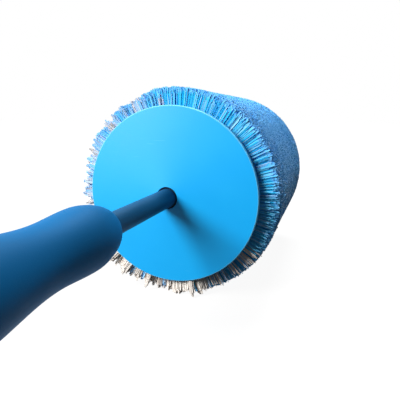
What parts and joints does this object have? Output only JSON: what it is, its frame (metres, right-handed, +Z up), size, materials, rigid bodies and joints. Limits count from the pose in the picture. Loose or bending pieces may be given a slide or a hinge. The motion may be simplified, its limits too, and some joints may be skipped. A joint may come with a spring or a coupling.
{
  "type": "wheel hub brush",
  "caption": "Cylindrical bristle brush with a domed tufted nose, a shallow conical splash disc, a coated rod and a contoured soft grip that ends in a hang tab.",
  "frame": {"origin": "on the floor plane, under the middle of the brush's length and width, with the brush lying on its bristles", "axes": "+Y along the brush from the grip towards the bristle nose, +Z up, +X to the right when looking towards +Y"},
  "size_m": [0.1216, 0.3522, 0.1211],
  "materials": {
    "disc_plastic": "satin moulded polypropylene, light blue",
    "spindle_plastic": "moulded polypropylene, blue",
    "bristle": "blue synthetic filament tufts in a plastic backing",
    "steel": "plain stainless steel",
    "dark_rubber": "matte dark rubber",
    "rod_coating": "satin dark blue coating on steel",
    "soft_grip": "soft-touch blue elastomer",
    "hard_grip": "hard moulded plastic, dark blue"
  },
  "bodies": {
    "root": {"splash_disc": "disc_plastic", "hub_spindle": "spindle_plastic", "tuft_ring_1": "bristle", "tuft_ring_2": "bristle", "tuft_ring_3": "bristle", "tuft_nose": "bristle", "nose_washer": "steel", "nose_screw": "steel", "nose_plug": "dark_rubber", "spindle_pin": "steel", "disc_screw_1": "steel", "disc_screw_2": "steel", "disc_screw_3": "steel", "rod_grommet": "dark_rubber", "rod": "rod_coating", "grip_ferrule": "hard_grip", "grip_core": "hard_grip", "soft_grip": "soft_grip", "grip_pin": "steel", "end_cap": "hard_grip"}
  },
  "joints": []
}
